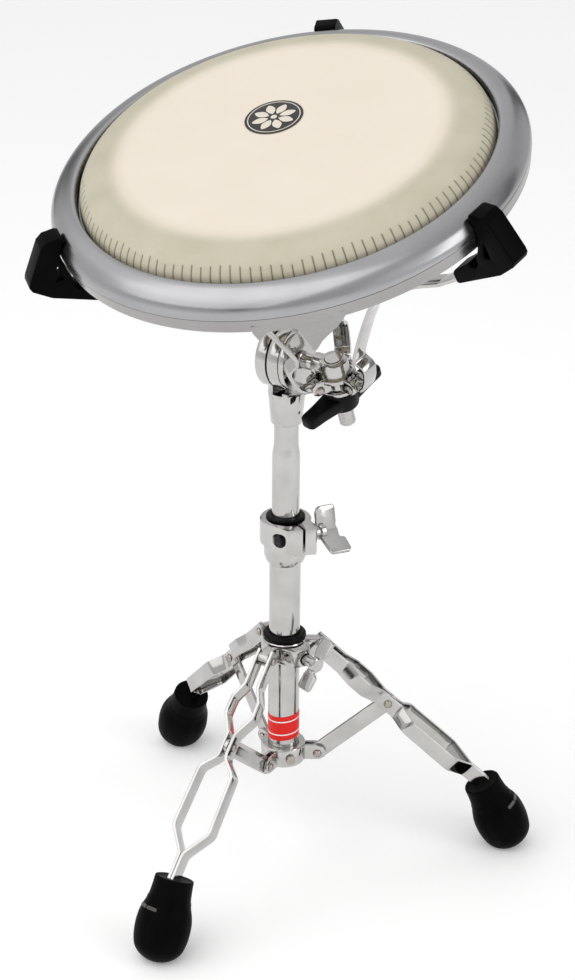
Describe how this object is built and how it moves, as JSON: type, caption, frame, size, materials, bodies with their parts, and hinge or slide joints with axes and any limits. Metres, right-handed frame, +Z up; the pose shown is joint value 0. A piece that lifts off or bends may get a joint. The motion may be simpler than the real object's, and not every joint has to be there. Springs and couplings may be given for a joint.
{
  "type": "shallow conga drum on a tripod stand",
  "caption": "Shallow single-head hand drum held in a clamping basket, on a folding braced tripod stand with height clamp and tilter.",
  "frame": {"origin": "on the floor, under the centre of the whole part in plan", "axes": "+Z up along the stand's column; +X along the right-hand leg; -Y towards the side the head tilts down to"},
  "size_m": [0.3921, 0.4262, 0.6804],
  "materials": {
    "chrome": "bright plated",
    "casting": "plated casting, a little softer than the tubes",
    "drum_metal": "polished with a fine turned grain",
    "fastener": "dull plated steel",
    "steel_hoop": "plain",
    "rubber": "moulded, satin",
    "grip_rubber": "moulded, satin",
    "black_plastic": "moulded",
    "red_band": "plain coloured sleeve",
    "skin": "cream skin-like film",
    "ink": "dark printed disc"
  },
  "bodies": {
    "stand": {"lower_tube": "chrome", "tube_end_cap": "black_plastic", "bottom_bracket": "casting", "bracket_screw": "fastener", "colour_band": "red_band", "height_clamp": "casting", "height_bush": "black_plastic", "clamp_plug": "black_plastic", "strut_pin_right": "fastener", "strut_pin_front": "fastener", "strut_pin_back": "fastener"},
    "leg_slider": {"leg_collar": "casting", "leg_collar_ring": "black_plastic", "leg_pin_right": "fastener", "leg_pin_front": "fastener", "leg_pin_back": "fastener"},
    "leg_wing": {"leg_wing_bolt": "chrome"},
    "height_wing": {"height_wing_bolt": "chrome"},
    "right_leg": {"leg_right": "chrome", "leg_rivet_right": "fastener", "foot_right": "rubber"},
    "front_leg": {"leg_front": "chrome", "leg_rivet_front": "fastener", "foot_front": "rubber"},
    "back_leg": {"leg_back": "chrome", "leg_rivet_back": "fastener", "foot_back": "rubber"},
    "right_strut": {"strut_right": "chrome"},
    "front_strut": {"strut_front": "chrome"},
    "back_strut": {"strut_back": "chrome"},
    "mast": {"upper_tube": "chrome"},
    "tilter": {"tilter_post": "casting", "tilter_gasket": "black_plastic", "tilter_bolt": "fastener"},
    "basket": {"tilter_rotor": "casting", "tilter_face": "casting", "tilter_rod": "chrome", "basket_hub": "casting", "basket_spindle": "fastener", "pressure_disc": "casting", "arm_pin_right": "fastener", "arm_pin_back": "fastener", "arm_pin_left": "fastener", "rim": "drum_metal", "head": "skin", "head_hoop": "steel_hoop", "shell": "drum_metal", "emblem": "ink"},
    "nut": {"basket_nut": "black_plastic"},
    "right_arm": {"arm_right": "chrome", "grip_right": "grip_rubber"},
    "back_arm": {"arm_back": "chrome", "grip_back": "grip_rubber"},
    "left_arm": {"arm_left": "chrome", "grip_left": "grip_rubber"},
    "tuner_1": {"tuning_bolt_1": "fastener"},
    "tuner_2": {"tuning_bolt_2": "fastener"},
    "tuner_3": {"tuning_bolt_3": "fastener"},
    "tuner_4": {"tuning_bolt_4": "fastener"},
    "tuner_5": {"tuning_bolt_5": "fastener"}
  },
  "joints": [
    {"name": "collar_slide", "type": "slide", "parent": "stand", "child": "leg_slider", "axis": [0, 0, 1], "range_m": [0, 0.04]},
    {"name": "right_leg_fold", "type": "hinge", "parent": "leg_slider", "child": "right_leg", "pos_m": [0.0168, 0.0294, 0.1876], "axis": [0, 1, 0], "range_deg": [0, 25.61]},
    {"name": "front_leg_fold", "type": "hinge", "parent": "leg_slider", "child": "front_leg", "pos_m": [-0.02805, 0.00351, 0.1876], "axis": [0.866, -0.5, 0], "range_deg": [0, 25.61]},
    {"name": "back_leg_fold", "type": "hinge", "parent": "leg_slider", "child": "back_leg", "pos_m": [-0.02805, 0.05529, 0.1876], "axis": [-0.866, -0.5, 0], "range_deg": [0, 25.61]},
    {"name": "right_strut_fold", "type": "hinge", "parent": "stand", "child": "right_strut", "pos_m": [0.0152, 0.0294, 0.0877], "axis": [0, 1, 0], "range_deg": [-26.02, 0]},
    {"name": "front_strut_fold", "type": "hinge", "parent": "stand", "child": "front_strut", "pos_m": [-0.02725, 0.00489, 0.0877], "axis": [0.866, -0.5, 0], "range_deg": [-26.02, 0]},
    {"name": "back_strut_fold", "type": "hinge", "parent": "stand", "child": "back_strut", "pos_m": [-0.02725, 0.05391, 0.0877], "axis": [-0.866, -0.5, 0], "range_deg": [-26.02, 0]},
    {"name": "leg_wing_turn", "type": "hinge", "parent": "leg_slider", "child": "leg_wing", "pos_m": [0.00618, 0.00642, 0.186], "axis": [0.6428, -0.766, 0], "continuous": true},
    {"name": "height_wing_turn", "type": "hinge", "parent": "stand", "child": "height_wing", "pos_m": [-0.00445, 0.01442, 0.292], "axis": [0.866, 0.5, 0], "range_deg": [-5, 60]},
    {"name": "height_slide", "type": "slide", "parent": "stand", "child": "mast", "axis": [0, 0, 1], "range_m": [-0.045, 0.1]},
    {"name": "swivel", "type": "hinge", "parent": "mast", "child": "tilter", "pos_m": [-0.0131, 0.0294, 0.39], "axis": [0, 0, 1], "continuous": true},
    {"name": "tilt", "type": "hinge", "parent": "tilter", "child": "basket", "pos_m": [-0.0131, 0.0294, 0.438], "axis": [0.829, -0.5592, 0], "range_deg": [-41, 15]},
    {"name": "nut_turn", "type": "hinge", "parent": "basket", "child": "nut", "pos_m": [0.02889, 0.01296, 0.41286], "axis": [-0.204, -0.3025, 0.9311], "range_deg": [0, 70]},
    {"name": "right_arm_open", "type": "hinge", "parent": "basket", "child": "right_arm", "pos_m": [0.03814, -0.00342, 0.42783], "axis": [0.631, 0.6865, 0.3613], "range_deg": [0, 4]},
    {"name": "back_arm_open", "type": "hinge", "parent": "basket", "child": "back_arm", "pos_m": [0.02834, 0.02355, 0.43444], "axis": [-0.9637, 0.2293, -0.1367], "range_deg": [0, 4]},
    {"name": "left_arm_open", "type": "hinge", "parent": "basket", "child": "left_arm", "pos_m": [0.00977, 0.00333, 0.4238], "axis": [0.3328, -0.9159, -0.2246], "range_deg": [0, 4]},
    {"name": "tuner_1_turn", "type": "hinge", "parent": "basket", "child": "tuner_1", "pos_m": [0.14297, -0.06569, 0.63571], "axis": [-0.204, -0.3025, 0.9311], "continuous": true},
    {"name": "tuner_2_turn", "type": "hinge", "parent": "basket", "child": "tuner_2", "pos_m": [0.04035, 0.08945, 0.66363], "axis": [-0.204, -0.3025, 0.9311], "continuous": true},
    {"name": "tuner_3_turn", "type": "hinge", "parent": "basket", "child": "tuner_3", "pos_m": [-0.13676, 0.05193, 0.61262], "axis": [-0.204, -0.3025, 0.9311], "continuous": true},
    {"name": "tuner_4_turn", "type": "hinge", "parent": "basket", "child": "tuner_4", "pos_m": [-0.14361, -0.12639, 0.55319], "axis": [-0.204, -0.3025, 0.9311], "continuous": true},
    {"name": "tuner_5_turn", "type": "hinge", "parent": "basket", "child": "tuner_5", "pos_m": [0.02928, -0.19908, 0.56746], "axis": [-0.204, -0.3025, 0.9311], "continuous": true}
  ],
  "couplings": [
    {"joint": "right_leg_fold", "follows": "collar_slide", "rad_per_m": 11.172},
    {"joint": "front_leg_fold", "follows": "collar_slide", "rad_per_m": 11.172},
    {"joint": "back_leg_fold", "follows": "collar_slide", "rad_per_m": 11.172},
    {"joint": "right_strut_fold", "follows": "collar_slide", "rad_per_m": -11.35},
    {"joint": "front_strut_fold", "follows": "collar_slide", "rad_per_m": -11.35},
    {"joint": "back_strut_fold", "follows": "collar_slide", "rad_per_m": -11.35},
    {"joint": "right_arm_open", "follows": "nut_turn", "ratio": 0.057142},
    {"joint": "back_arm_open", "follows": "nut_turn", "ratio": 0.057142},
    {"joint": "left_arm_open", "follows": "nut_turn", "ratio": 0.057142}
  ]
}
